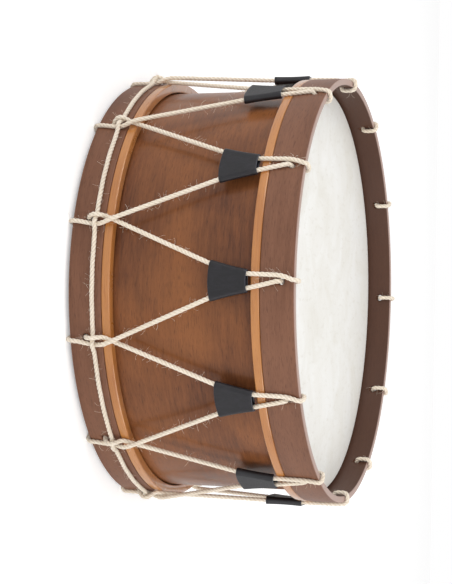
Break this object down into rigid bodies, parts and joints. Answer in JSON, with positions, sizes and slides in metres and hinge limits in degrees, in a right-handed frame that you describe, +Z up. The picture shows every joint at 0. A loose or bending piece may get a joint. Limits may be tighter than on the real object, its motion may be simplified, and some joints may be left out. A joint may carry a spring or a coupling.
{
  "type": "rope-tensioned bass drum",
  "caption": "Two-headed bass drum with a stained plywood shell, wide wooden counterhoops, zigzag rope lacing and sliding leather tugs.",
  "frame": {"origin": "middle of the floor contact, under the drum's axis", "axes": "+Z up along the drum's axis, -Y towards the first lacing loop"},
  "size_m": [0.5488, 0.5488, 0.2822],
  "materials": {
    "shell_wood": "dark brown stained plywood under gloss lacquer",
    "hoop_wood": "brown stained wood, satin lacquer",
    "ring_wood": "tan orange gloss lacquer",
    "drum_skin": "white mottled drumhead",
    "hemp_rope": "cream twisted hemp rope",
    "black_leather": "black leather, semi-gloss"
  },
  "bodies": {
    "drum": {"hoop_rope": "hemp_rope", "lacing_bight_01": "hemp_rope", "lacing_bight_02": "hemp_rope", "lacing_bight_03": "hemp_rope", "lacing_bight_04": "hemp_rope", "lacing_bight_05": "hemp_rope", "lacing_bight_06": "hemp_rope", "lacing_bight_07": "hemp_rope", "lacing_bight_08": "hemp_rope", "lacing_bight_09": "hemp_rope", "lacing_bight_10": "hemp_rope", "lacing_bight_11": "hemp_rope", "lacing_bight_12": "hemp_rope", "lacing_span_01": "hemp_rope", "lacing_span_02": "hemp_rope", "lacing_span_03": "hemp_rope", "lacing_span_04": "hemp_rope", "lacing_span_05": "hemp_rope", "lacing_span_06": "hemp_rope", "lacing_span_07": "hemp_rope", "lacing_span_08": "hemp_rope", "lacing_span_09": "hemp_rope", "lacing_span_10": "hemp_rope", "lacing_span_11": "hemp_rope", "lacing_span_12": "hemp_rope", "lower_counterhoop": "hoop_wood", "lower_flesh_hoop": "ring_wood", "lower_head": "drum_skin", "shell": "shell_wood", "upper_counterhoop": "hoop_wood", "upper_flesh_hoop": "ring_wood", "upper_head": "drum_skin"},
    "tug_01": {"tug_01": "black_leather"},
    "tug_02": {"tug_02": "black_leather"},
    "tug_03": {"tug_03": "black_leather"},
    "tug_04": {"tug_04": "black_leather"},
    "tug_05": {"tug_05": "black_leather"},
    "tug_06": {"tug_06": "black_leather"},
    "tug_07": {"tug_07": "black_leather"},
    "tug_08": {"tug_08": "black_leather"},
    "tug_09": {"tug_09": "black_leather"},
    "tug_10": {"tug_10": "black_leather"},
    "tug_11": {"tug_11": "black_leather"},
    "tug_12": {"tug_12": "black_leather"}
  },
  "joints": [
    {"name": "tug_01_slide", "type": "slide", "parent": "drum", "child": "tug_01", "axis": [0, 0.0376, -0.9993], "range_m": [0, 0.05], "deforming": ["lacing_span_01"]},
    {"name": "tug_02_slide", "type": "slide", "parent": "drum", "child": "tug_02", "axis": [-0.0188, 0.0325, -0.9993], "range_m": [0, 0.05], "deforming": ["lacing_span_02"]},
    {"name": "tug_03_slide", "type": "slide", "parent": "drum", "child": "tug_03", "axis": [-0.0325, 0.0188, -0.9993], "range_m": [0, 0.05], "deforming": ["lacing_span_03"]},
    {"name": "tug_04_slide", "type": "slide", "parent": "drum", "child": "tug_04", "axis": [-0.0376, 0, -0.9993], "range_m": [0, 0.05], "deforming": ["lacing_span_04"]},
    {"name": "tug_05_slide", "type": "slide", "parent": "drum", "child": "tug_05", "axis": [-0.0325, -0.0188, -0.9993], "range_m": [0, 0.05], "deforming": ["lacing_span_05"]},
    {"name": "tug_06_slide", "type": "slide", "parent": "drum", "child": "tug_06", "axis": [-0.0188, -0.0325, -0.9993], "range_m": [0, 0.05], "deforming": ["lacing_span_06"]},
    {"name": "tug_07_slide", "type": "slide", "parent": "drum", "child": "tug_07", "axis": [0, -0.0376, -0.9993], "range_m": [0, 0.05], "deforming": ["lacing_span_07"]},
    {"name": "tug_08_slide", "type": "slide", "parent": "drum", "child": "tug_08", "axis": [0.0188, -0.0325, -0.9993], "range_m": [0, 0.05], "deforming": ["lacing_span_08"]},
    {"name": "tug_09_slide", "type": "slide", "parent": "drum", "child": "tug_09", "axis": [0.0325, -0.0188, -0.9993], "range_m": [0, 0.05], "deforming": ["lacing_span_09"]},
    {"name": "tug_10_slide", "type": "slide", "parent": "drum", "child": "tug_10", "axis": [0.0376, 0, -0.9993], "range_m": [0, 0.05], "deforming": ["lacing_span_10"]},
    {"name": "tug_11_slide", "type": "slide", "parent": "drum", "child": "tug_11", "axis": [0.0325, 0.0188, -0.9993], "range_m": [0, 0.05], "deforming": ["lacing_span_11"]},
    {"name": "tug_12_slide", "type": "slide", "parent": "drum", "child": "tug_12", "axis": [0.0188, 0.0325, -0.9993], "range_m": [0, 0.05], "deforming": ["lacing_span_12"]}
  ]
}
